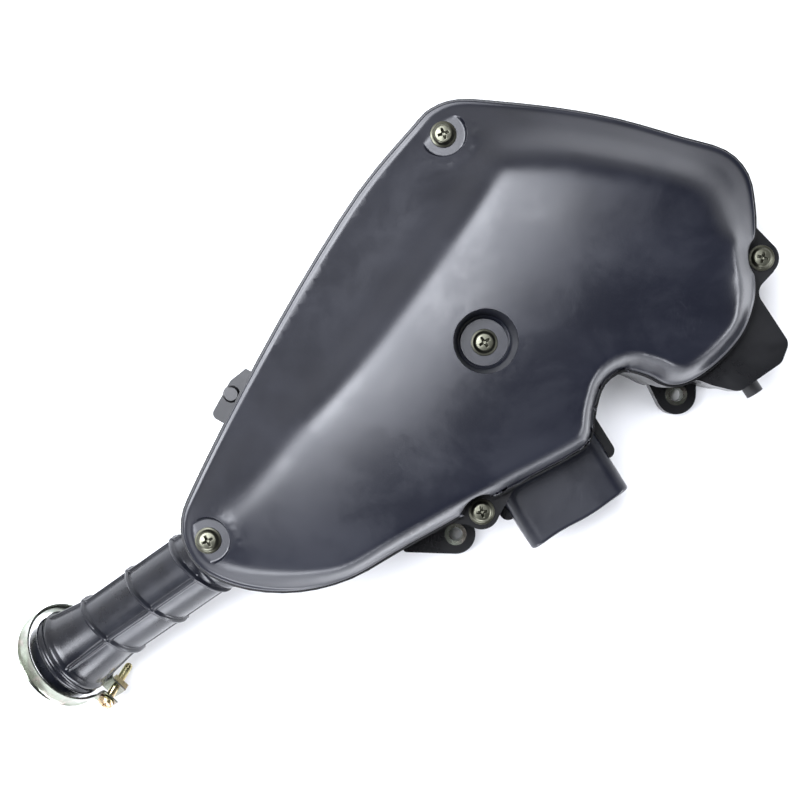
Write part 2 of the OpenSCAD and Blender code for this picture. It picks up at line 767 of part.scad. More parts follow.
// In the clamp's frame the ears stand out along +X, with the bolt along +Y.
module clamp_band() color(zinc) in_clamp_frame() difference() {
    union() {
        difference() {
            translate([0, 0, -clamp_w / 2]) cylinder(r = clamp_r + clamp_t, h = clamp_w);
            translate([0, 0, -clamp_w]) cylinder(r = clamp_r, h = 2 * clamp_w);
            translate([0, -clamp_gap / 2, -clamp_w]) cube([60, clamp_gap, 2 * clamp_w]);
        }
        for (side = [-1, 1]) translate([clamp_r - 0.8, side > 0 ? clamp_gap / 2 : -clamp_gap / 2 - clamp_ear_t,
            -clamp_w / 2]) cube([clamp_ear + 0.8, clamp_ear_t, clamp_w]);
    }
    translate([clamp_r + clamp_bolt_out, 0, 0]) rotate([90, 0, 0])
        cylinder(r = clamp_bolt_r + 0.3, h = 40, center = true);
}

clamp_seat = clamp_gap / 2 + clamp_ear_t;

module clamp_screw() color(brass) in_clamp_frame() translate([clamp_r + clamp_bolt_out, clamp_seat, 0])
    rotate([-90, 0, 0]) pan_screw(clamp_bolt_len, clamp_bolt_r, 3.9);

module clamp_nut() color(brass) in_clamp_frame()
    translate([clamp_r + clamp_bolt_out, -clamp_seat - nut_t - 0.1, 0]) rotate([-90, 0, 0]) difference() {
        translate([-nut_w / 2, -nut_w / 2, 0]) cube([nut_w, nut_w, nut_t]);
        translate([0, 0, -1]) cylinder(r = clamp_bolt_r + 0.06, h = nut_t + 2);
    }

front_cover();
cover_seal();
centre_seal();
filter_frame();
filter_foam();
filter_grid();
middle_shell();
rear_shell();
shell_seal();
intake_snorkel();
outlet_sleeve();
sleeve_collar();
clamp_band();
clamp_screw();
clamp_nut();
cover_screws();
cover_inserts();
ear_screws();
ear_inserts();
rear_screws();
lug_sleeves();
drain_cap();
cable_clip();
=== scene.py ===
import math

import bpy
import numpy as np
from mathutils import Matrix, Vector
from mathutils.geometry import delaunay_2d_cdt


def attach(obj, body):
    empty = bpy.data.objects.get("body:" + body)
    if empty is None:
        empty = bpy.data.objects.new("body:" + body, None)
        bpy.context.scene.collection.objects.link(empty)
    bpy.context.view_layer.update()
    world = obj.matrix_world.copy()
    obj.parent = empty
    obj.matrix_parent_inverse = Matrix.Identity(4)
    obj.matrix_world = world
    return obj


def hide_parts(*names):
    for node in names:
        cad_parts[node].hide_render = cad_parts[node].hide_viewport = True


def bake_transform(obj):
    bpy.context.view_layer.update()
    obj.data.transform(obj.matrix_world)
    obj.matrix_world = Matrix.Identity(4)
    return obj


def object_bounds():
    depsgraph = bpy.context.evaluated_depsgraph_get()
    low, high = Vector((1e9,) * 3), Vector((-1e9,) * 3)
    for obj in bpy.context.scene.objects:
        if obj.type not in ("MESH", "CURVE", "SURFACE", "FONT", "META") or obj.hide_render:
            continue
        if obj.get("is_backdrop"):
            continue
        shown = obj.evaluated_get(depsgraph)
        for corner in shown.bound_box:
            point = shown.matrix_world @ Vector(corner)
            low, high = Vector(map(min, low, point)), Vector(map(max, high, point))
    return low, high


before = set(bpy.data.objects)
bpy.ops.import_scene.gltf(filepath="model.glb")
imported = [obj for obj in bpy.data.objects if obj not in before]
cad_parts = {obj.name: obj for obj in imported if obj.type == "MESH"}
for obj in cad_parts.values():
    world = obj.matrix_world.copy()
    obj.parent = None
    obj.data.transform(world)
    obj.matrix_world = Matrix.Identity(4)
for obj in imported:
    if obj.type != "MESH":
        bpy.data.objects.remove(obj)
cad_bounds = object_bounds()

# The object's own frame is in millimetres below. Meshes are made in metres.
MM = 0.001

# ---------- Dimensions of the cover ----------

SEAM_Z = 76.0
FLANGE_T = 3.0
COVER_WALL = 2.4
SKIRT_RISE = 18.0
STEP_SLOPE = 3.0
CROWN_Z = 106.0
ROUND_STEP = 2.2
ROUND_TOP = 2.6
LIP_ROUND = 0.9
EASE_STEPS = 22

# Cover outline: x, y and the width of the skirt there, once round clockwise.
OUTLINE = [
    (-131, 120, 38), (-122, 129, 34), (-110, 133, 29), (-91, 132, 25), (-64, 129, 21),
    (-37, 124, 20), (-9, 116, 19), (11, 110, 22), (21, 99.5, 22), (24, 85, 19),
    (24.5, 72, 14), (24.5, 67, 13), (24.5, 62.5, 12.5), (24.5, 58, 12), (24.5, 53, 11.5),
    (24, 42, 10.5), (19, 28, 7.5), (8, 15, 7), (-5, 6, 6),
    (-15, 4.5, 7), (-25, 9, 5), (-35, 11, 3.2), (-44, 5, 3.2), (-48, -6, 3.2),
    (-50, -19, 3.5), (-56, -26, 3.2), (-82, -40, 3.2), (-91, -45, 3.2), (-97, -48.3, 3.6),
    (-103, -51.7, 4), (-109, -55, 4), (-136, -70, 4),
    (-159, -83, 5.5), (-182, -89, 11), (-205, -88, 15), (-224, -81, 15), (-233, -70, 15),
    (-235, -57, 18), (-229, -41, 24), (-209, -1, 28), (-182, 48, 38), (-155, 91, 42)]
OUTLINE_STEPS = 8
EARS = [(29.5, 62.5), (-99.0, -54.0)]
EAR_NOTCH_R = 9.2

# Dome: a broad barrel that lies along the ridge and falls away towards the tip.
RIDGE_POINT = (-136.5, 47.0)
RIDGE_BEARING = 48.0
BARREL_CREST = 38.0
BARREL_R = 320.0
TIP_FALL = (15.0, 420.0)
FAR_FALL = (70.0, 500.0)

# Recesses: place, seat height, then the radius at each height above the seat.
SCREW_HOLE_R = 2.9
CORNER_WELL = [(9.9, 0.0), (10.5, 0.8), (11.2, 60.0)]
CENTRE_WELL = [(10.6, 0.0), (11.1, 2.6), (11.9, 3.0), (13.9, 13.0), (16.0, 60.0)]
WELLS = [((-117.0, 117.0), 82.0, CORNER_WELL), ((-223.0, -66.0), 82.0, CORNER_WELL),
         ((-99.0, 23.0), 90.5, CENTRE_WELL)]

# ---------- Dimensions of the sleeve, clamp, snorkel and screws ----------

SLEEVE_START = (-228.0, -78.0, 52.0)
SLEEVE_BEARING = 215.0
SLEEVE_TILT = 16.2
RIB_START = 2.4
RIB_PITCH = 27.8
RIB_LEAN = 13.5
RIB_HALF = 1.25
RIB_HEIGHT = 1.75
LONG_RIB_TURN = -15.0
LONG_RIB_HALF = 0.95
LONG_RIB_HEIGHT = 1.25
FLEX_FROM, FLEX_TO = 8.0, 74.0

CLAMP_AT = 88.0
CLAMP_SHIFT = 0.8
CLAMP_LEAN = 19.0
CLAMP_TURN = 74.0
CLAMP_R = 23.9
CLAMP_T = 0.8
CLAMP_W = 9.0
CLAMP_GAP = 8.0
CLAMP_EAR = 9.0
CLAMP_SUNK = 0.77
CLAMP_BOLT_OUT = 5.5
CLAMP_SEAT = 5.2

SNORKEL_MOUTH = (-50.4, -59.5, 21.0)
SNORKEL_BEARING = -58.0
SNORKEL_W, SNORKEL_H = 54.0, 27.0
SNORKEL_LEN = 48.0
SNORKEL_WALL = 2.4
SNORKEL_EDGE_R = 7.0
MOUTH_LIP = 7.0
MOUTH_SLOPE = 0.7

CORNER_SEAT_Z, CENTRE_SEAT_Z, EAR_SEAT_Z = 82.0, 90.5, 68.0
COVER_SCREW_LEN, EAR_SCREW_LEN = 14.0, 22.0
CLAMP_SCREW_LEN, CLAMP_SCREW_R, CLAMP_HEAD_R = 27.0, 2.0, 3.9


# ---------- Mesh helpers ----------

def turn_z(degrees):
    return Matrix.Rotation(math.radians(degrees), 4, "Z")


def turn_y(degrees):
    return Matrix.Rotation(math.radians(degrees), 4, "Y")


def place(x, y, z):
    return Matrix.Translation((x, y, z))


def smooth(low, high, x):
    t = np.clip((x - low) / (high - low), 0, 1)
    return t * t * (3 - 2 * t)


def make_mesh(name, points, faces, matrix=None, smooth_angle=None):
    """A mesh object from points in millimetres."""
    points = np.asarray(points, float)
    if matrix is not None:
        m = np.array(matrix)
        points = points @ m[:3, :3].T + m[:3, 3]
    mesh = bpy.data.meshes.new(name)
    mesh.from_pydata((points * MM).tolist(), [], faces)
    mesh.validate()
    mesh.update()
    mesh.shade_smooth()
    if smooth_angle is not None:
        mesh.set_sharp_from_angle(angle=math.radians(smooth_angle))
    piece = bpy.data.objects.new(name, mesh)
    bpy.context.scene.collection.objects.link(piece)
    return piece


def ring_faces(rings, around, closed_rings=False, first=0):
    """Quads between rings of points, each ring closed on itself."""
    faces = []
    for i in range(rings if closed_rings else rings - 1):
        a, b = first + i * around, first + ((i + 1) % rings) * around
        for j in range(around):
            k = (j + 1) % around
            faces.append((a + j, a + k, b + k, b + j))
    return faces


def refine(points, longest):
    """The same polyline with no stretch longer than asked."""
    out = [points[0]]
    for a, b in zip(points, points[1:]):
        n = max(1, math.ceil(math.dist(a, b) / longest))
        out += [tuple(np.array(a) + (np.array(b) - np.array(a)) * (i + 1) / n) for i in range(n)]
    return out


def finish_piece(piece, body, material, nodes=()):
    piece.data.materials.append(material)
    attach(piece, body)
    if nodes:
        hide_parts(*nodes)
    return piece


# ---------- Material helpers ----------

class Shader:
    """A material's node tree, built with short calls."""

    def __init__(self, name):
        self.material = bpy.data.materials.new(name)
        self.material.use_nodes = True
        self.tree = self.material.node_tree
        self.tree.nodes.clear()
        self.surface = self.node("ShaderNodeBsdfPrincipled")
        out = self.node("ShaderNodeOutputMaterial")
        self.link(self.surface.outputs[0], out.inputs[0])
        self.place = self.node("ShaderNodeTexCoord").outputs["Object"]

    def node(self, kind, **settings):
        made = self.tree.nodes.new(kind)
        for key, value in settings.items():
            setattr(made, key, value)
        return made

    def link(self, a, b):
        self.tree.links.new(a, b)

    def feed(self, socket, value):
        if isinstance(value, bpy.types.NodeSocket):
            self.link(value, socket)
        else:
            socket.default_value = value

    def stretched(self, scale, angle=0.0):
        made = self.node("ShaderNodeMapping")
        self.link(self.place, made.inputs["Vector"])
        made.inputs["Scale"].default_value = scale
        made.inputs["Rotation"].default_value = (0.3 * angle, 0.2 * angle, angle)
        return made.outputs[0]

    def noise(self, scale, detail=4.0, rough=0.55, at=None, distortion=0.0):
        made = self.node("ShaderNodeTexNoise")
        self.link(at or self.place, made.inputs["Vector"])
        made.inputs["Scale"].default_value = scale
        made.inputs["Detail"].default_value = detail
        made.inputs["Roughness"].default_value = rough
        made.inputs["Distortion"].default_value = distortion
        return made.outputs[0]

    def cells(self, scale, feature="F1", at=None):
        made = self.node("ShaderNodeTexVoronoi", feature=feature)
        self.link(at or self.place, made.inputs["Vector"])
        made.inputs["Scale"].default_value = scale
        return made.outputs["Distance"]

    def ramp(self, value, low, high, start=0.0, end=1.0):
        made = self.node("ShaderNodeMapRange", interpolation_type="SMOOTHSTEP")
        self.link(value, made.inputs["Value"])
        for key, number in (("From Min", low), ("From Max", high), ("To Min", start), ("To Max", end)):
            made.inputs[key].default_value = number
        return made.outputs["Result"]

    def math(self, how, a, b=0.0):
        made = self.node("ShaderNodeMath", operation=how)
        self.feed(made.inputs[0], a)
        self.feed(made.inputs[1], b)
        return made.outputs[0]

    def blend(self, amount, a, b):
        made = self.node("ShaderNodeMix", data_type="RGBA")
        self.feed(made.inputs["Factor"], amount)
        for socket, value in ((made.inputs[6], a), (made.inputs[7], b)):
            self.feed(socket, value if isinstance(value, bpy.types.NodeSocket) else (*value, 1.0))
        return made.outputs[2]

    def bump(self, height, strength, distance, over=None):
        made = self.node("ShaderNodeBump")
        made.inputs["Strength"].default_value = strength
        made.inputs["Distance"].default_value = distance
        self.link(height, made.inputs["Height"])
        if over is not None:
            self.link(over, made.inputs["Normal"])
        return made.outputs[0]

    def set(self, **values):
        names = {"color": "Base Color", "rough": "Roughness", "metal": "Metallic", "normal": "Normal",
                 "coat": "Coat Weight", "coat_rough": "Coat Roughness", "sheen": "Sheen Weight",
                 "specular": "Specular IOR Level", "ior": "IOR"}
        for key, value in values.items():
            plain = key == "color" and not isinstance(value, bpy.types.NodeSocket)
            self.feed(self.surface.inputs[names[key]], (*value, 1.0) if plain else value)

    def edge_wear(self, radius, low=0.02, high=0.25):
        """One along convex and concave edges, broken up by noise."""
        rounded = self.node("ShaderNodeBevel", samples=4)
        rounded.inputs["Radius"].default_value = radius
        true = self.node("ShaderNodeNewGeometry")
        dot = self.node("ShaderNodeVectorMath", operation="DOT_PRODUCT")
        self.link(rounded.outputs[0], dot.inputs[0])
        self.link(true.outputs["Normal"], dot.inputs[1])
        edge = self.ramp(self.math("SUBTRACT", 1.0, dot.outputs["Value"]), low, high)
        return self.math("MULTIPLY", edge, self.ramp(self.noise(160, 6, 0.7), 0.4, 0.7))

    def scratches(self, angle, density, width, keep):
        """Fine broken lines that run one way."""
        at = self.stretched((density, density * 0.045, density), angle)
        lines = self.ramp(self.cells(1.0, "DISTANCE_TO_EDGE", at), 0.0, width, 1.0, 0.0)
        return self.math("MULTIPLY", lines, self.ramp(self.noise(34, 3, 0.6), keep, keep + 0.06))


def moulded_plastic(name, dark, light, rough, grain, worn, scratch, ior=1.5):
    s = Shader(name)
    cloud = s.ramp(s.noise(26, 6, 0.62, distortion=0.4), 0.35, 0.68)
    smear = s.ramp(s.noise(9, 3, 0.5, at=s.stretched((1.0, 3.2, 1.0), 0.7)), 0.35, 0.7)
    fine = s.noise(grain, 3, 0.6)
    lines = s.math("MAXIMUM", s.scratches(0.5, 420, 0.025, 0.58), s.scratches(-0.8, 330, 0.02, 0.62))
    lines = s.math("MAXIMUM", lines, s.scratches(1.9, 520, 0.02, 0.64))
    lines = s.math("MULTIPLY", lines, scratch)
    colour = s.blend(s.math("MULTIPLY", s.math("ADD", cloud, smear), 0.5), dark, light)
    colour = s.blend(s.math("MULTIPLY", lines, 0.35), colour, worn)
    edge = s.edge_wear(0.0006)
    colour = s.blend(s.math("MULTIPLY", edge, 0.3), colour, worn)
    roughness = s.ramp(cloud, 0, 1, rough - 0.03, rough + 0.05)
    roughness = s.math("ADD", roughness, s.math("MULTIPLY", lines, 0.12))
    roughness = s.math("ADD", roughness, s.math("MULTIPLY", smear, 0.04))
    normal = s.bump(fine, 0.16, 0.00012)
    normal = s.bump(s.noise(60, 2, 0.4), 0.05, 0.0012, normal)
    normal = s.bump(lines, 0.1, 0.00006, normal)
    s.set(color=colour, rough=roughness, normal=normal, ior=ior)
    return s.material


def moulded_rubber(name, dark, light, rough):
    s = Shader(name)
    cloud = s.ramp(s.noise(40, 5, 0.6), 0.35, 0.7)
    dust = s.ramp(s.noise(210, 6, 0.7), 0.52, 0.75)
    colour = s.blend(cloud, dark, light)
    colour = s.blend(s.math("MULTIPLY", dust, 0.06), colour, (0.12, 0.12, 0.13))
    edge = s.edge_wear(0.0008)
    colour = s.blend(s.math("MULTIPLY", edge, 0.2), colour, (0.1, 0.105, 0.12))
    normal = s.bump(s.noise(1500, 4, 0.65), 0.2, 0.0001)
    normal = s.bump(s.noise(90, 2, 0.4), 0.08, 0.001, normal)
    s.set(color=colour, rough=s.ramp(cloud, 0, 1, rough - 0.05, rough + 0.06), normal=normal)
    return s.material


def plated_steel(name, base, stain, rough, tints=None):
    s = Shader(name)
    cloud = s.ramp(s.noise(120, 6, 0.65), 0.35, 0.7)
    colour = s.blend(s.math("MULTIPLY", cloud, 0.6), base, stain)
    if tints:
        swirl = s.noise(70, 2, 0.5, distortion=1.5)
        colour = s.blend(s.ramp(swirl, 0.5, 0.68, 0, 0.5), colour, tints[0])
        colour = s.blend(s.ramp(swirl, 0.5, 0.32, 0, 0.5), colour, tints[1])
    brushed = s.noise(900, 3, 0.6, at=s.stretched((1.0, 1.0, 14.0), 0.2))
    edge = s.edge_wear(0.0003)
    colour = s.blend(s.math("MULTIPLY", edge, 0.25), colour, (0.5, 0.5, 0.47))
    normal = s.bump(brushed, 0.12, 0.00004)
    normal = s.bump(s.noise(600, 4, 0.6), 0.1, 0.00008, normal)
    s.set(color=colour, metal=1.0, rough=s.ramp(cloud, 0, 1, rough - 0.06, rough + 0.1), normal=normal)
    return s.material


def open_foam(name):
    s = Shader(name)
    cell = s.cells(900)
    small = s.cells(2100)
    # Pit mask: low at the pore centres, where the bump sinks the surface and the colour below paints shade
    # into the pores
    pit_depth_and_shade = s.math("MULTIPLY", s.ramp(cell, 0.1, 0.55), s.ramp(small, 0.05, 0.5, 0.6, 1.0))
    stain = s.ramp(s.noise(22, 4, 0.6), 0.4, 0.7)
    oiled = s.blend(stain, (0.30, 0.045, 0.03), (0.40, 0.09, 0.05))
    # Painted shade: the pores are blended towards near-black, standing in for the shade inside the foam's
    # open cells
    colour = s.blend(pit_depth_and_shade, (0.05, 0.008, 0.006), oiled)
    normal = s.bump(pit_depth_and_shade, 0.9, 0.0007)
    s.set(color=colour, rough=s.ramp(stain, 0, 1, 0.7, 0.88), normal=normal, sheen=0.3)
    return s.material


MATERIALS = {
    "cover_plastic": moulded_plastic(
        "cover_plastic", dark=(0.0045, 0.0052, 0.0095), light=(0.0072, 0.0083, 0.0145), rough=0.31,
        grain=2600, worn=(0.05, 0.054, 0.065), scratch=0.16),
    "black_plastic": moulded_plastic(
        "black_plastic", dark=(0.0025, 0.0026, 0.0032), light=(0.005, 0.0052, 0.0062), rough=0.28,
        grain=1900, worn=(0.04, 0.04, 0.045), scratch=0.25, ior=1.38),
    "clip_plastic": moulded_plastic(
        "clip_plastic", dark=(0.004, 0.004, 0.0045), light=(0.008, 0.008, 0.009), rough=0.34,
        grain=2200, worn=(0.06, 0.06, 0.065), scratch=0.3),
    "seal_rubber": moulded_rubber(
        "seal_rubber", dark=(0.009, 0.009, 0.01), light=(0.017, 0.017, 0.018), rough=0.62),
    "sleeve_rubber": moulded_rubber(
        "sleeve_rubber", dark=(0.0035, 0.004, 0.0065), light=(0.007, 0.008, 0.0125), rough=0.3),
    "zinc_steel": plated_steel(
        "zinc_steel", base=(0.3, 0.32, 0.27), stain=(0.16, 0.17, 0.13), rough=0.24,
        tints=((0.36, 0.42, 0.32), (0.42, 0.34, 0.32))),
    "yellow_zinc": plated_steel(
        "yellow_zinc", base=(0.5, 0.43, 0.24), stain=(0.33, 0.27, 0.13), rough=0.3,
        tints=((0.44, 0.46, 0.28), (0.48, 0.32, 0.24))),
    "screw_steel": plated_steel("screw_steel", base=(0.13, 0.13, 0.1), stain=(0.06, 0.06, 0.045), rough=0.38),
    "brass": plated_steel("brass", base=(0.72, 0.5, 0.2), stain=(0.5, 0.33, 0.12), rough=0.3),
    "filter_foam": open_foam("filter_foam"),
}


# ---------- Cover ----------

def smooth_loop(points, steps):
    """A closed curve through the points, which spends the same number of steps on each stretch."""
    b = np.array(points, float)
    a, c, d = np.roll(b, 1, 0), np.roll(b, -1, 0), np.roll(b, -2, 0)
    t = (np.arange(steps) / steps)[:, None, None]
    square, cube = 2 * a - 5 * b + 4 * c - d, 3 * b - a - 3 * c + d
    loop = 0.5 * (2 * b + (c - a) * t + square * t ** 2 + cube * t ** 3)
    return loop.transpose(1, 0, 2).reshape(-1, b.shape[1])


def notched(loop):
    """Pushes the outline out of the round notch over each ear's screw."""
    loop = loop.copy()
    for ear in EARS:
        away = loop[:, :2] - ear
        far = np.maximum(np.hypot(*away.T), 0.01)
        loop[:, :2] = ear + away * (((far ** 8 + EAR_NOTCH_R ** 8) ** 0.125) / far)[:, None]
    return loop


SMOOTH_EDGE = smooth_loop(OUTLINE, 24)
EDGE = notched(smooth_loop(OUTLINE, OUTLINE_STEPS))


def to_edge(points, edge):
    """For each point and each stretch of the edge: the distance, and the skirt's width there."""
    a, b = edge, np.roll(edge, -1, 0)
    along = (b - a)[:, :2]
    rel = points[:, None, :] - a[None, :, :2]
    t = np.clip((rel * along).sum(-1) / (along ** 2).sum(-1), 0, 1)
    far = np.hypot(*(rel - along * t[..., None]).transpose(2, 0, 1))
    return far, a[:, 2] + (b - a)[:, 2] * t


def depth_inside(points, edge):
    """Distance in from the edge, negative outside."""
    out = []
    x1, y1 = edge[:, 0], edge[:, 1]
    x2, y2 = np.roll(x1, -1), np.roll(y1, -1)
    for part in np.array_split(points, max(1, len(points) // 1500)):
        far = to_edge(part, edge)[0].min(1)
        px, py = part[:, :1], part[:, 1:]
        rising = (y1 > py) != (y2 > py)
        cross = px < (x2 - x1) * (py - y1) / np.where(y2 == y1, 1e-9, y2 - y1) + x1
        inside = (rising & cross).sum(1) % 2 == 1
        out.append(np.where(inside, far, -far))
    return np.concatenate(out)


def soft_ramp(x, k):
    return k * np.logaddexp(0, x / k)


def soft_min(a, b, k):
    return -k * np.logaddexp(-a / k, -b / k)


def wall_rise(far, skirt):
    lip = 0.8 + 0.05 * skirt
    slope = SKIRT_RISE / (skirt - lip)
    return slope * soft_ramp(far - lip, 0.35) + (STEP_SLOPE - slope) * soft_ramp(far - skirt, ROUND_STEP)


def dome_rise(points):
    run = np.radians([RIDGE_BEARING, RIDGE_BEARING - 90])
    rel = points - RIDGE_POINT
    along = rel @ (math.cos(run[0]), math.sin(run[0]))
    across = rel @ (math.cos(run[1]), math.sin(run[1]))
    tip = np.maximum(0, -along - TIP_FALL[0])
    far = np.maximum(0, along - FAR_FALL[0])
    return (CROWN_Z - SEAM_Z - FLANGE_T - (across - BARREL_CREST) ** 2 / (2 * BARREL_R)
            - tip ** 2 / (2 * TIP_FALL[1]) - far ** 2 / (2 * FAR_FALL[1]))


def cover_top(points):
    """Height of the cover's outer face, with its recesses and its rounded edge."""
    rise = np.concatenate([wall_rise(*to_edge(part, SMOOTH_EDGE)).min(1)
                           for part in np.array_split(points, max(1, len(points) // 600))])
    z = SEAM_Z + FLANGE_T + soft_min(rise, dome_rise(points), ROUND_TOP)
    for centre, seat, profile in WELLS:
        r = np.hypot(*(points - centre).T)
        radii, heights = zip(*profile)
        wall = seat + np.interp(r, radii, heights)
        near = r < radii[-1] - 0.3
        z[near] = soft_min(z[near], wall[near], 0.22)
    depth = np.clip(depth_inside(points, EDGE), 0, LIP_ROUND)
    return z - (LIP_ROUND - np.sqrt(LIP_ROUND ** 2 - (LIP_ROUND - depth) ** 2))


def circle_points(centre, radii):
    out = []
    for r in radii:
        n = max(40, int(r * 7))
        a = np.linspace(0, 2 * math.pi, n, endpoint=False) + 0.3 * r
        out.append(np.stack([centre[0] + r * np.cos(a), centre[1] + r * np.sin(a)], 1))
    return np.concatenate(out)


def cover_plan():
    """Points of the cover's plan: rim loops, rings round the recesses and an even field between."""
    n = len(EDGE)
    along = np.roll(EDGE, -1, 0)[:, :2] - np.roll(EDGE, 1, 0)[:, :2]
    inward = np.stack([along[:, 1], -along[:, 0]], 1) / np.hypot(*along.T)[:, None]
    loops = [EDGE[:, :2] + inward * d for d in (0.12, 0.3, 0.55, 0.9, 1.3, 1.8, 2.4, 3.1, 3.9, 4.8)]
    rings = []
    for centre, _, profile in WELLS:
        steps = np.arange(profile[0][0] - 0.6, profile[-2][0] + 1.2, 0.28)
        radii = [SCREW_HOLE_R, 4.5, 6.2, 8.0, *steps, steps[-1] + 0.7, steps[-1] + 1.7, steps[-1] + 3.0]
        rings.append((centre, radii))
    step = 1.9
    low, high = EDGE[:, :2].min(0), EDGE[:, :2].max(0)
    rows = np.arange(low[1], high[1], step * 0.87)
    field = np.array([(x, y) for i, y in enumerate(rows)
                      for x in np.arange(low[0] + (i % 2) * step / 2, high[0], step)])
    field = field[depth_inside(field, EDGE) > 5.6]
    for centre, radii in rings:
        field = field[np.hypot(*(field - centre).T) > radii[-1] + 0.9]
    ring_points = np.concatenate([circle_points(c, r) for c, r in rings])
    ring_points = ring_points[depth_inside(ring_points, EDGE) > 5.2]
    rim = np.concatenate(loops)
    rim = rim[depth_inside(rim, EDGE) > 0.05]
    return n, np.concatenate([EDGE[:, :2], rim, ring_points, field])


def eased(points, triangles, depth):
    """Softens the creases of the dome and the skirts, away from the edge and the recesses."""
    sides = np.concatenate([triangles[:, [0, 1]], triangles[:, [1, 2]], triangles[:, [2, 0]]])
    pairs = np.unique(np.sort(sides, 1), axis=0)
    one, other = pairs.T
    count = np.bincount(pairs.ravel(), minlength=len(points))
    amount = smooth(9.0, 15.0, depth)
    for centre, _, profile in WELLS:
        amount *= smooth(0.5, 5.0, np.hypot(*(points[:, :2] - centre).T) - profile[-2][0])
    z = points[:, 2].copy()
    for _ in range(EASE_STEPS):
        total = np.bincount(one, z[other], len(z)) + np.bincount(other, z[one], len(z))
        z += amount * 0.6 * (total / np.maximum(count, 1) - z)
    return np.column_stack([points[:, :2], z])


def cover_shell():
    n, plan = cover_plan()
    edges = [(i, (i + 1) % n) for i in range(n)]
    made = delaunay_2d_cdt([Vector(p) for p in plan], edges, [], 1, 1e-6)
    plan, triangles = np.array([tuple(v) for v in made[0]]), np.array(made[2])
    origins = [o[0] if o else -1 for o in made[3]]
    middle = plan[triangles].mean(1)
    for centre, _, _ in WELLS:
        triangles = triangles[np.hypot(*(middle - centre).T) > SCREW_HOLE_R]
        middle = plan[triangles].mean(1)
    a, b, c = (plan[triangles[:, i]] for i in range(3))
    area = (b[:, 0] - a[:, 0]) * (c[:, 1] - a[:, 1]) - (c[:, 0] - a[:, 0]) * (b[:, 1] - a[:, 1])
    triangles[area < 0] = triangles[area < 0][:, ::-1]
    points = eased(np.column_stack([plan, cover_top(plan)]), triangles, depth_inside(plan, EDGE))
    # The rim's outer wall, down to the joint face
    loop = np.zeros(n, int)
    for i, o in enumerate(origins):
        if 0 <= o < n:
            loop[o] = i
    faces = [tuple(t) for t in triangles]
    for z, inset in ((SEAM_Z + 1.4, 0.0), (SEAM_Z + 0.35, 0.0), (SEAM_Z, 0.3)):
        ring = points[loop].copy()
        along = np.roll(ring[:, :2], -1, 0) - np.roll(ring[:, :2], 1, 0)
        ring[:, :2] += inset * np.stack([along[:, 1], -along[:, 0]], 1) / np.hypot(*along.T)[:, None]
        ring[:, 2] = z
        first = len(points)
        points = np.concatenate([points, ring])
        below = np.arange(n) + first
        faces += [(loop[(i + 1) % n], below[(i + 1) % n], below[i], loop[i]) for i in range(n)]
        loop = below
    piece = make_mesh("cover_moulding", points, [tuple(int(i) for i in f) for f in faces], smooth_angle=50)
    wall = piece.modifiers.new("wall", "SOLIDIFY")
    wall.thickness = COVER_WALL * MM
    wall.offset = -1
    return finish_piece(piece, "cover", MATERIALS["cover_plastic"], ["front_cover"])


# ---------- Sleeve ----------

SLEEVE_FRAME = place(*SLEEVE_START) @ turn_z(SLEEVE_BEARING) @ turn_y(90 + SLEEVE_TILT)
SLEEVE_SKIN = [
    (-8.5, 17.4), (-8.3, 17.9), (-7.8, 18.1), (-5.2, 18.1), (-4.6, 17.9), (-3.6, 16.9), (-2.6, 16.4),
    (-1.6, 16.3), (59.0, 16.3), (62.0, 16.7), (78.5, 19.3), (80.0, 19.7), (81.2, 20.7), (82.0, 21.3),
    (83.2, 21.3), (83.7, 21.1), (84.0, 20.6), (84.3, 20.3), (85.6, 20.3), (85.9, 20.6), (86.2, 21.1),
    (86.7, 21.3), (87.6, 21.3), (88.1, 21.0), (88.4, 20.3), (88.8, 19.9), (93.7, 19.8), (94.2, 19.6),
    (94.5, 19.1)]
SLEEVE_BORE = [
    (94.5, 18.5), (94.3, 18.1), (93.8, 18.0), (82.5, 18.0), (79.0, 17.4), (62.0, 13.9),
    (15.5, 13.9), (13.5, 14.9), (-8.0, 14.95), (-8.4, 15.2), (-8.5, 15.8)]


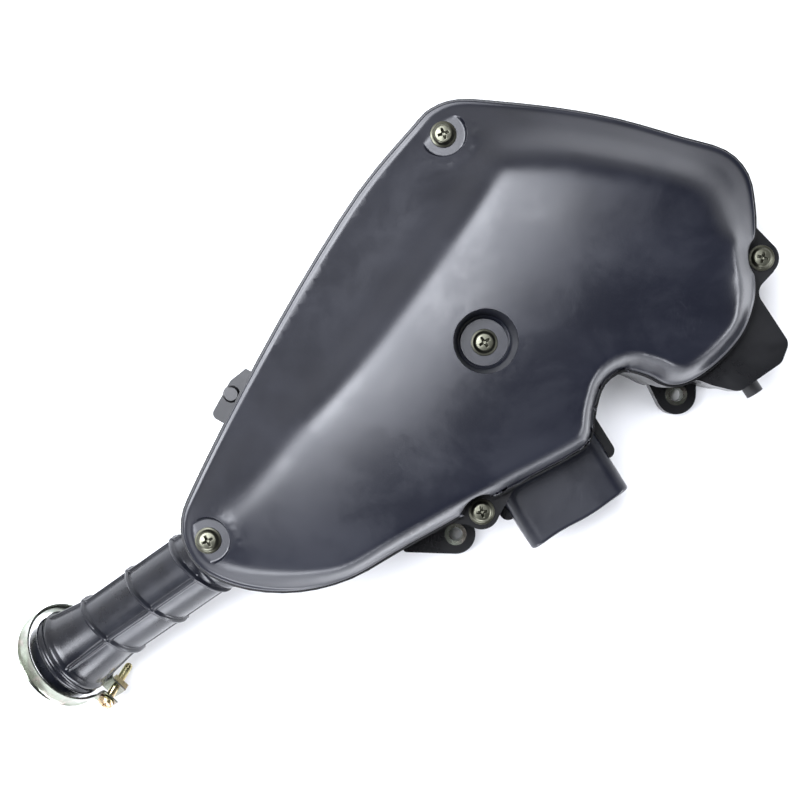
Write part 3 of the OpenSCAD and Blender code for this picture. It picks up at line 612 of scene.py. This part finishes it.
def sleeve():
    skin, bore = refine(SLEEVE_SKIN, 0.7), refine(SLEEVE_BORE, 2.5)
    ribs = [RIB_START + k * RIB_PITCH for k in range(3)]
    stations = {round(w, 3) for w, _ in skin}
    stations |= {round(w + d, 3) for w in ribs for d in (-1.6, -1.25, -0.95, 0.95, 1.25, 1.6)}
    angles = set(np.arange(0, 360, 2.5))
    beside = (0, 1.4, 2.2, 2.8, 3.4, 4, 5)
    for k in range(4):
        angles |= {LONG_RIB_TURN + 180 + 90 * k + side * d for d in beside for side in (-1, 1)}
    turn = np.radians(sorted(a % 360 for a in angles))
    around = len(turn)
    off = (np.degrees(turn) - LONG_RIB_TURN + 45) % 90 - 45
    rings = []
    for w in sorted(stations):
        lean = math.tan(math.radians(RIB_LEAN)) * float(smooth(-5.0, 3.0, w) * (1 - smooth(60.0, 80.0, w)))
        at = w - lean * 17.0 * np.sin(turn)
        r = np.interp(at, *zip(*SLEEVE_SKIN))
        ring_rib = max(1 - float(smooth(RIB_HALF * 0.45, RIB_HALF * 1.25, abs(w - rib))) for rib in ribs)
        ends = smooth(-0.5, 1.0, at) * (1 - smooth(79.0, 82.0, at))
        across = np.abs(np.sin(np.radians(off))) * r
        long_rib = (1 - smooth(LONG_RIB_HALF * 0.5, LONG_RIB_HALF * 1.5, across)) * ends
        height = np.maximum(ring_rib * RIB_HEIGHT, long_rib * LONG_RIB_HEIGHT)
        height = height + 0.35 * np.minimum(ring_rib, long_rib)
        rings.append(np.stack([(r + height) * np.cos(turn), (r + height) * np.sin(turn), at], 1))
    for w, r in bore:
        rings.append(np.stack([r * np.cos(turn), r * np.sin(turn), np.full(around, w)], 1))
    piece = make_mesh("ribbed_sleeve", np.concatenate(rings), ring_faces(len(rings), around, True),
                      SLEEVE_FRAME, smooth_angle=45)
    piece.data.materials.append(MATERIALS["sleeve_rubber"])
    ends = [SLEEVE_FRAME @ Vector((0, 0, w)) * MM for w in (FLEX_FROM, FLEX_TO)]
    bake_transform(piece)
    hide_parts("outlet_sleeve", "sleeve_collar")
    return piece


# ---------- Clamp ----------

CLAMP_FRAME = (SLEEVE_FRAME @ place(0, -CLAMP_SHIFT, CLAMP_AT) @ turn_y(CLAMP_LEAN) @ turn_z(CLAMP_TURN))


def clamp_strap():
    """The band with its rolled edges and its two ears, swept along its own path."""
    middle = CLAMP_R + CLAMP_T / 2
    half_gap = (CLAMP_GAP + CLAMP_T) / 2
    fillet = 2.2
    end = math.asin((half_gap + fillet) / (middle + fillet))
    corner = np.array([math.cos(end), math.sin(end)]) * (middle + fillet)
    path = [(middle + CLAMP_EAR, half_gap), (middle + CLAMP_EAR * 0.6, half_gap)]
    path += [(corner[0] + fillet * math.cos(a), corner[1] + fillet * math.sin(a))
             for a in np.linspace(-math.pi / 2, -math.pi + end, 7)]
    path += [(middle * math.cos(a), middle * math.sin(a))
             for a in np.linspace(end + 0.05, 2 * math.pi - end - 0.05, 110)]
    path += [(x, -y) for x, y in path[8::-1]]
    path = np.array(path)
    along = np.gradient(path, axis=0)
    normal = np.stack([along[:, 1], -along[:, 0]], 1) / np.hypot(*along.T)[:, None]
    arc = np.arange(len(path))
    on_band = smooth(9, 13, arc) * (1 - smooth(len(path) - 14, len(path) - 10, arc))
    half_w, half_t = CLAMP_W / 2, CLAMP_T / 2
    # The strap's section: distance across the band, and how far its edges curl out of the sunk middle
    edge = [(0.1, 0.75), (0.5, 0.55), (1.1, 0.1), (1.7, 0.0)]
    across = [(w - half_w, curl) for w, curl in edge] + [(0.0, 0.0)]
    across += [(half_w - w, curl) for w, curl in edge[::-1]]
    section = [(w, curl, half_t) for w, curl in across] + [(w, curl, -half_t) for w, curl in across[::-1]]
    rings = []
    for p, n, band in zip(path, normal, on_band):
        out = [t + (curl - CLAMP_SUNK) * band for _, curl, t in section]
        rings.append([(p[0] + n[0] * d, p[1] + n[1] * d, w) for d, (w, _, _) in zip(out, section)])
    around = len(section)
    points = np.array(rings).reshape(-1, 3)
    faces = ring_faces(len(rings), around)
    last = len(points) - around
    faces += [tuple(range(around - 1, -1, -1)), tuple(range(last, last + around))]
    piece = make_mesh("clamp_strap", points, faces, CLAMP_FRAME, smooth_angle=40)
    return finish_piece(piece, "clamp", MATERIALS["zinc_steel"], ["clamp_band"])


# ---------- Screws ----------

def cross_recess(x, y, size, depth):
    """Depth of a cross recess at a place on the head."""
    def arm(u, v):
        wide = size * (0.17 + 0.02 * np.cos(u))
        reach = 1 - smooth(size * 0.75, size * 1.0, np.abs(u))
        return reach * (1 - smooth(wide * 0.75, wide * 1.35, np.abs(v)))
    deep = np.maximum(arm(x, y), arm(y, x))
    centre = 1 - smooth(0.15 * size, 0.95 * size, np.hypot(x, y))
    return depth * deep * (0.35 + 0.65 * centre)


def screw(name, matrix, body, material, node, length, r=2.5, head=6.0, turn=0.0):
    head_h = head * 0.55
    around = 72
    a = np.linspace(0, 2 * math.pi, around, endpoint=False)
    pitch, thread = r * 0.32, r * 0.15
    thread_z = np.arange(-length + 1.0, -1.2, pitch / 6)
    profile = [(0.02, -length), (r * 0.55, -length), (r * 0.75, -length + 0.5)]
    profile += [(r - thread / 2, z) for z in thread_z]
    profile += [(r, -1.0), (r, -0.15), (r + 0.2, 0.0), (head - 0.35, 0.0), (head - 0.1, 0.12), (head, 0.35),
                (head, 0.6), (head - 0.12, 0.85), (head - 0.45, 1.0), (head * 0.84, 1.12)]
    profile += [(head * 0.8, 1.3), (head * 0.77, head_h * 0.55), (head * 0.72, head_h * 0.72),
                (head * 0.64, head_h * 0.86)]
    crown = np.linspace(head * 0.6, 0.02, 40)
    profile += [(c, head_h * (0.9 + 0.1 * math.cos(c / (head * 0.6) * math.pi / 2))) for c in crown]
    rings = []
    for i, (radius, z) in enumerate(profile):
        rr = np.full(around, radius)
        if 3 <= i < 3 + len(thread_z):
            wave = np.abs(((z / pitch - a / (2 * math.pi)) % 1) * 2 - 1)
            rr = rr + thread * (wave - 0.5) * min(1.0, (i - 2) / 8, (3 + len(thread_z) - i) / 8)
        x, y = rr * np.cos(a), rr * np.sin(a)
        zz = np.full(around, float(z))
        if z > head_h * 0.8:
            zz -= cross_recess(x, y, head * 0.46, head_h * 0.62)
        rings.append(np.stack([x, y, zz], 1))
    points = np.concatenate(rings)
    faces = ring_faces(len(rings), around)
    last = len(points) - around
    faces += [tuple(range(around - 1, -1, -1)), tuple(range(last, last + around))]
    piece = make_mesh(name, points, faces, matrix @ turn_z(turn), smooth_angle=35)
    return finish_piece(piece, body, MATERIALS[material], [node])


# ---------- Snorkel ----------

def snorkel():
    """A flat duct with well rounded edges, open at a mouth that slants back below."""
    def section(shrink):
        r = SNORKEL_EDGE_R - shrink
        half, high = SNORKEL_W / 2 - shrink, SNORKEL_H - shrink
        points = []
        corners = (((half - r, high - r), (-half + r, high)), ((-half + r, high - r), (-half, shrink + r)),
                   ((-half + r, shrink + r), (half - r, shrink)), ((half - r, shrink + r), (half, high - r)))
        for quarter, ((cy, cz), after) in enumerate(corners):
            points += [(cy + r * math.cos(math.radians(a)), cz + r * math.sin(math.radians(a)))
                       for a in 90 * quarter + np.linspace(0, 90, 11)]
            points += refine([points[-1], after], 2.0)[1:-1]
        return np.array(points)

    outer, inner = section(0), section(SNORKEL_WALL)

    def mouth(z, y):
        back = MOUTH_SLOPE * soft_ramp(SNORKEL_H - MOUTH_LIP - z, 0.8)
        return -back + 0.45 * np.sin(y / SNORKEL_W * 2 * math.pi * 1.5 + 0.6) - 0.45

    rings = []
    steps = np.concatenate([np.linspace(0, 0.9, 26), np.linspace(0.92, 1.0, 7)])
    # Outside, from the box end to the mouth, then a rounded lip, then back along the inside
    for t in steps:
        end = mouth(outer[:, 1], outer[:, 0]) - 1.1
        rings.append(np.column_stack([-SNORKEL_LEN + (end + SNORKEL_LEN) * t, outer]))
    count = 7
    for k in range(1, count + 1):
        a = math.pi * k / (count + 1)
        blend = (1 - math.cos(a)) / 2
        mid = outer * (1 - blend) + inner * blend
        end = mouth(mid[:, 1], mid[:, 0]) - 1.1 + 1.1 * math.sin(a)
        rings.append(np.column_stack([end, mid]))
    for t in steps[::-1]:
        end = mouth(inner[:, 1], inner[:, 0]) - 1.1
        rings.append(np.column_stack([-SNORKEL_LEN + (end + SNORKEL_LEN) * t, inner]))
    matrix = place(*SNORKEL_MOUTH) @ turn_z(SNORKEL_BEARING)
    piece = make_mesh("snorkel_duct", np.concatenate(rings), ring_faces(len(rings), len(outer), True),
                      matrix, smooth_angle=60)
    return finish_piece(piece, "root", MATERIALS["cover_plastic"], ["intake_snorkel"])


# ---------- Foam element ----------

def foam_element():
    """The foam pad: the CAD pad's own outline, with soft rounded edges and a slightly uneven face."""
    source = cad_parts["filter_foam"]
    piece = bpy.data.objects.new("foam_element", source.data.copy())
    bpy.context.scene.collection.objects.link(piece)
    piece.data.materials.clear()
    remesh = piece.modifiers.new("remesh", "REMESH")
    remesh.mode = "VOXEL"
    remesh.voxel_size = 0.0016
    soften = piece.modifiers.new("soften", "SMOOTH")
    soften.iterations = 6
    depsgraph = bpy.context.evaluated_depsgraph_get()
    mesh = bpy.data.meshes.new_from_object(piece.evaluated_get(depsgraph))
    piece.modifiers.clear()
    piece.data = mesh
    mesh.shade_smooth()
    points = np.empty(len(mesh.vertices) * 3)
    mesh.vertices.foreach_get("co", points)
    points = points.reshape(-1, 3)
    x, y = points[:, 0] * 1000, points[:, 1] * 1000
    points[:, 2] += 0.00018 * (np.sin(x / 7.3 + 1.1) * np.cos(y / 9.1) + 0.6 * np.sin((x + y) / 4.1))
    mesh.vertices.foreach_set("co", points.ravel())
    mesh.update()
    finish_piece(piece, "filter", MATERIALS["filter_foam"], ["filter_foam"])
    return piece


# ---------- CAD pieces that keep their shape ----------

CARRIED = {
    "middle_shell": ("black_plastic", 0.22), "rear_shell": ("black_plastic", 0.22),
    "filter_frame": ("black_plastic", 0.3), "filter_grid": ("black_plastic", 0.25),
    "cover_seal": ("seal_rubber", 0.3), "centre_seal": ("seal_rubber", 0.3),
    "shell_seal": ("seal_rubber", 0.3), "clamp_nut": ("yellow_zinc", 0.4),
    "cover_inserts": ("brass", 0.15), "ear_inserts": ("brass", 0.15),
    "rear_screws": ("screw_steel", 0.2), "lug_sleeves": ("zinc_steel", 0.35),
    "drain_cap": ("seal_rubber", 0.8), "cable_clip": ("clip_plastic", 0.35)}


def carry(node, material, width):
    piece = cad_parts[node]
    piece.data.materials.clear()
    piece.data.materials.append(MATERIALS[material])
    edge = piece.modifiers.new("edge", "BEVEL")
    edge.width = width * MM
    edge.segments = 3
    edge.limit_method = "ANGLE"
    edge.angle_limit = math.radians(40)
    edge.use_clamp_overlap = True
    edge.harden_normals = False


# ---------- Stage ----------

FLOOR_HALF = 8.0
LIGHT_TARGET = (-0.12, 0.02, 0.05)
LIGHT_COLOUR = (0.9, 0.925, 1.0)
SKY_LOW, SKY_HIGH, SKY_LEFT = 0.75, 0.04, 0.5
CAMERA_AT = (-0.1365, -0.0027, 0.826)
CAMERA_LENS = 74.25

def stage():
    mesh = bpy.data.meshes.new("floor")
    corners = [(x * FLOOR_HALF, y * FLOOR_HALF, 0) for x, y in ((-1, -1), (1, -1), (1, 1), (-1, 1))]
    mesh.from_pydata(corners, [], [(0, 1, 2, 3)])
    floor = bpy.data.objects.new("floor", mesh)
    floor.location.z = -0.0005
    bpy.context.scene.collection.objects.link(floor)
    s = Shader("floor")
    s.set(color=(0.9, 0.9, 0.9), rough=0.9)
    mesh.materials.append(s.material)
    floor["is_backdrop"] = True


def area_light(name, at, size, power):
    data = bpy.data.lights.new(name, "AREA")
    data.shape = "RECTANGLE"
    data.size, data.size_y = size
    data.energy = power
    data.color = LIGHT_COLOUR
    light = bpy.data.objects.new(name, data)
    light.location = at
    light.rotation_euler = (Vector(LIGHT_TARGET) - Vector(at)).to_track_quat("-Z", "Y").to_euler()
    bpy.context.scene.collection.objects.link(light)


def sky():
    """Dark overhead, white round the horizon, and a little brighter to the upper left."""
    world = bpy.data.worlds.new("studio")
    bpy.context.scene.world = world
    world.use_nodes = True
    tree = world.node_tree
    background = tree.nodes["Background"]
    background.inputs["Color"].default_value = (1, 1, 1, 1)
    at = tree.nodes.new("ShaderNodeTexCoord")
    split = tree.nodes.new("ShaderNodeSeparateXYZ")
    tree.links.new(at.outputs["Generated"], split.inputs[0])
    low = tree.nodes.new("ShaderNodeMapRange")
    low.interpolation_type = "SMOOTHSTEP"
    for key, number in (("From Min", 0.1), ("From Max", 0.75), ("To Min", SKY_LOW), ("To Max", SKY_HIGH)):
        low.inputs[key].default_value = number
    tree.links.new(split.outputs[2], low.inputs["Value"])
    side = tree.nodes.new("ShaderNodeVectorMath")
    side.operation = "DOT_PRODUCT"
    side.inputs[1].default_value = (-0.6, 0.6, 0.5)
    tree.links.new(at.outputs["Generated"], side.inputs[0])
    left = tree.nodes.new("ShaderNodeMapRange")
    left.interpolation_type = "SMOOTHSTEP"
    for key, number in (("From Min", 0.3), ("From Max", 0.9), ("To Min", 0.0), ("To Max", SKY_LEFT)):
        left.inputs[key].default_value = number
    tree.links.new(side.outputs["Value"], left.inputs["Value"])
    total = tree.nodes.new("ShaderNodeMath")
    total.operation = "ADD"
    tree.links.new(low.outputs[0], total.inputs[0])
    tree.links.new(left.outputs[0], total.inputs[1])
    tree.links.new(total.outputs[0], background.inputs["Strength"])


def lights():
    sky()
    area_light("key", (-0.45, 0.34, 1.35), (0.72, 0.72), 33)
    area_light("left", (-0.80, -0.05, 1.15), (0.5, 0.5), 13)
    area_light("right", (1.05, -0.25, 0.35), (0.8, 0.35), 13)
    area_light("front", (-0.35, -1.05, 0.35), (0.9, 0.35), 14)


def camera():
    data = bpy.data.cameras.new("camera")
    data.lens = CAMERA_LENS
    data.sensor_width = 36.0
    data.clip_start = 0.01
    made = bpy.data.objects.new("camera", data)
    made.location = CAMERA_AT
    bpy.context.scene.collection.objects.link(made)
    bpy.context.scene.camera = made


def screws():
    seats = (((-117, 117, CORNER_SEAT_Z), 20),
             ((-223, -66, CORNER_SEAT_Z), 28),
             ((-99, 23, CENTRE_SEAT_Z), 34))
    for number, (at, turned) in enumerate(seats, 1):
        screw(f"cover_screw_{number}", place(*at), "cover_screws", "screw_steel", "cover_screws",
              COVER_SCREW_LEN, turn=turned)
    for number, (ear, turned) in enumerate(zip(EARS, (75, 12)), 1):
        screw(f"ear_screw_{number}", place(*ear, EAR_SEAT_Z), "ear_screws", "screw_steel", "ear_screws",
              EAR_SCREW_LEN, turn=turned)
    on_ears = place(CLAMP_R + CLAMP_BOLT_OUT, CLAMP_SEAT, 0) @ Matrix.Rotation(-math.pi / 2, 4, "X")
    screw("clamp_bolt", CLAMP_FRAME @ on_ears, "clamp_screw", "yellow_zinc", "clamp_screw",
          CLAMP_SCREW_LEN, CLAMP_SCREW_R, CLAMP_HEAD_R)


camera()
cover_shell()
sleeve()
clamp_strap()
snorkel()
foam_element()
screws()
for node, (material, width) in CARRIED.items():
    carry(node, material, width)
stage()
lights()
bpy.context.scene.view_settings.view_transform = "Standard"


def plain(value):
    return [plain(v) for v in value] if hasattr(value, "__len__") else float(value)


{"cad": plain(cad_bounds), "visual": plain(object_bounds())}
